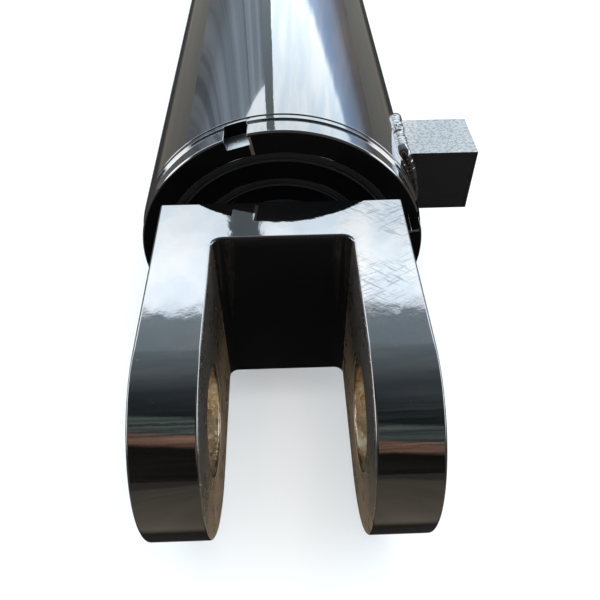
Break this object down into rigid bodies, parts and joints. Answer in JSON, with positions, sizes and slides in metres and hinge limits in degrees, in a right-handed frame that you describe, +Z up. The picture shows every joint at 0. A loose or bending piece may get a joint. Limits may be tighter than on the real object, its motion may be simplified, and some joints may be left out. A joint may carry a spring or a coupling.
{
  "type": "telescopic hydraulic cylinder",
  "caption": "Telescopic hydraulic cylinder: barrel with port blocks and a base eye, nested sleeves and a plunger ending in a forked clevis.",
  "frame": {"origin": "centre of the base pin's bore", "axes": "the cylinder's axis is Y and it extends towards -Y; +X is the side with the port blocks and both pin axes are along X; +Z is up"},
  "size_m": [0.247, 1.274, 0.202],
  "materials": {
    "black_paint": "gloss",
    "chrome_plate": "polished hard chrome",
    "turned_steel": "turned",
    "bronze": "satin bronze",
    "zinc_plate": "zinc plated",
    "seal_rubber": "smooth rubber",
    "guide_plastic": "fabric-filled resin"
  },
  "bodies": {
    "barrel": {"barrel_tube": "black_paint", "base_cap": "black_paint", "base_lug": "black_paint", "base_lug_bush": "bronze", "base_grease_nipple": "zinc_plate", "head_port_block": "black_paint", "base_port_block": "black_paint", "barrel_gland_nut": "black_paint", "barrel_gland_o_ring": "seal_rubber", "barrel_gland_guide_ring": "guide_plastic", "barrel_rod_seal": "seal_rubber", "barrel_wiper": "seal_rubber"},
    "stage_1": {"stage_1_tube": "chrome_plate", "stage_1_piston": "turned_steel", "stage_1_piston_seal": "seal_rubber", "stage_1_piston_guide_ring": "guide_plastic", "stage_1_stop_ring": "turned_steel", "stage_1_gland_nut": "black_paint", "stage_1_gland_guide_ring": "guide_plastic", "stage_1_rod_seal": "seal_rubber", "stage_1_wiper": "seal_rubber"},
    "stage_2": {"stage_2_tube": "chrome_plate", "stage_2_piston": "turned_steel", "stage_2_piston_seal": "seal_rubber", "stage_2_piston_guide_ring": "guide_plastic", "stage_2_stop_ring": "turned_steel", "stage_2_gland_nut": "black_paint", "stage_2_gland_guide_ring": "guide_plastic", "stage_2_rod_seal": "seal_rubber", "stage_2_wiper": "seal_rubber"},
    "plunger_packing": {"plunger_piston_seal": "seal_rubber", "plunger_piston_guide_ring": "guide_plastic"},
    "plunger": {"plunger_tube": "chrome_plate", "plunger_piston": "turned_steel", "plunger_stop_ring": "turned_steel", "clevis": "black_paint", "clevis_bush_left": "bronze", "clevis_bush_right": "bronze"}
  },
  "joints": [
    {"name": "stage_1_slide", "type": "slide", "parent": "barrel", "child": "stage_1", "axis": [0, -1, 0], "range_m": [0, 0.73]},
    {"name": "stage_2_slide", "type": "slide", "parent": "stage_1", "child": "stage_2", "axis": [0, -1, 0], "range_m": [0, 0.73]},
    {"name": "plunger_slide", "type": "slide", "parent": "stage_2", "child": "plunger_packing", "axis": [0, -1, 0], "range_m": [0, 0.73]},
    {"name": "plunger_swivel", "type": "hinge", "parent": "plunger_packing", "child": "plunger", "pos_m": [0, -0.1775, 0], "axis": [0, -1, 0], "continuous": true}
  ]
}
